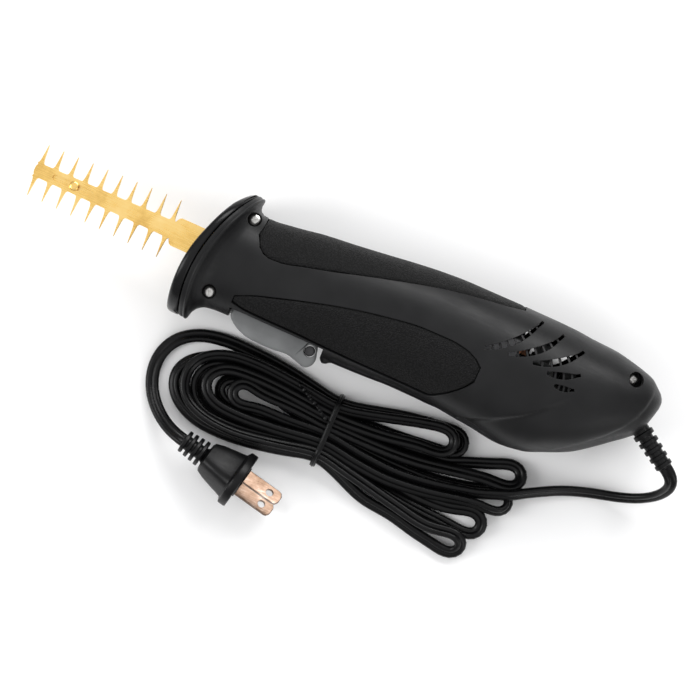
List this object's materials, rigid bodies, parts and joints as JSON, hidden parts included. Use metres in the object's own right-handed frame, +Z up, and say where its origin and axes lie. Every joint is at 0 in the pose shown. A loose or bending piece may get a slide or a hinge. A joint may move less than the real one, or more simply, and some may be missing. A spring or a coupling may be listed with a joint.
{
  "type": "electric uncapping knife",
  "caption": "Hand-held mains uncapping knife: two toothed gold blades that slide against each other, black oval handle with a grey trigger, and a tied flat cord with plug.",
  "frame": {"origin": "centre of the tool's own footprint on the table, without its cord and strain relief", "axes": "+X from the blade's tip to the rear of the handle, +Y towards the tool's top edge (away from the trigger), +Z up out of its left side"},
  "size_m": [0.2888, 0.1241, 0.052],
  "materials": {
    "black_plastic": "satin moulded black",
    "guard_plastic": "semi-gloss black",
    "grip_rubber": "fine grained matt black",
    "grey_plastic": "satin mid grey",
    "gold_steel": "gold-coloured coating, bright",
    "steel": "bright machined steel",
    "plated_brass": "nickel-plated brass, bright",
    "copper": "copper",
    "brass": "pressed brass",
    "white_plastic": "natural white moulded plastic",
    "carbon": "dark grey, matt",
    "cord_rubber": "satin black flexible PVC"
  },
  "bodies": {
    "handle": {"left_shell": "black_plastic", "right_shell": "black_plastic", "front_guard": "guard_plastic", "left_upper_grip": "grip_rubber", "left_lower_grip": "grip_rubber", "right_upper_grip": "grip_rubber", "right_lower_grip": "grip_rubber", "front_upper_screw": "steel", "front_lower_screw": "steel", "rear_screw": "steel", "trigger_pin": "steel", "trigger_spring": "steel", "switch_body": "carbon", "stator_core": "steel", "upper_field_coil": "copper", "lower_field_coil": "copper", "front_bearing": "steel", "rear_bearing": "steel", "upper_brush": "carbon", "lower_brush": "carbon", "upper_brush_holder": "brass", "lower_brush_holder": "brass", "gear_axle": "steel", "gearbox_frame": "black_plastic", "rear_bearing_bracket": "black_plastic", "suppressor_capacitor": "grey_plastic", "strain_relief": "cord_rubber", "cord_tail": "cord_rubber", "cord_plug_lead": "cord_rubber", "cord_hank": "cord_rubber", "cord_tie": "cord_rubber", "plug_body": "cord_rubber", "first_prong": "plated_brass", "second_prong": "plated_brass"},
    "armature": {"motor_shaft": "steel", "armature_core": "steel", "commutator": "copper", "cooling_fan": "white_plastic", "worm": "steel"},
    "gear": {"gear_wheel": "white_plastic"},
    "upper_blade_set": {"upper_blade": "gold_steel", "upper_driver": "white_plastic"},
    "lower_blade_set": {"lower_blade": "gold_steel", "lower_driver": "white_plastic", "blade_rivet": "gold_steel"},
    "trigger_lever": {"trigger": "grey_plastic"},
    "lock_bolt": {"lock_button": "grey_plastic"},
    "plunger": {"switch_plunger": "white_plastic"}
  },
  "joints": [
    {"name": "motor_spin", "type": "hinge", "parent": "handle", "child": "armature", "pos_m": [0.04875, 0.0051, 0.026], "axis": [1, 0, 0], "continuous": true},
    {"name": "gear_spin", "type": "hinge", "parent": "handle", "child": "gear", "pos_m": [0.01475, -0.0069, 0.026], "axis": [0, 0, 1], "continuous": true},
    {"name": "upper_blade_slide", "type": "slide", "parent": "handle", "child": "upper_blade_set", "axis": [1, 0, 0], "range_m": [-0.003, 0.003]},
    {"name": "lower_blade_slide", "type": "slide", "parent": "handle", "child": "lower_blade_set", "axis": [1, 0, 0], "range_m": [-0.003, 0.003]},
    {"name": "trigger_pull", "type": "hinge", "parent": "handle", "child": "trigger_lever", "pos_m": [-0.03525, -0.0159, 0.026], "axis": [0, 0, 1], "range_deg": [0, 5], "stiffness_Nm_per_rad": 0.6, "springref_deg": -2.86, "deforming": ["trigger_spring"]},
    {"name": "lock_push", "type": "slide", "parent": "trigger_lever", "child": "lock_bolt", "axis": [0, 0, -1], "range_m": [0, 0.0025], "stiffness_N_per_m": 300, "springref_m": -0.001},
    {"name": "plunger_slide", "type": "slide", "parent": "handle", "child": "plunger", "axis": [0, 1, 0], "range_m": [0, 0.0022]}
  ],
  "couplings": [
    {"joint": "gear_spin", "follows": "motor_spin", "ratio": 0.041667},
    {"joint": "lower_blade_slide", "follows": "upper_blade_slide", "ratio": -1},
    {"joint": "plunger_slide", "follows": "trigger_pull", "m_per_rad": 0.025}
  ]
}
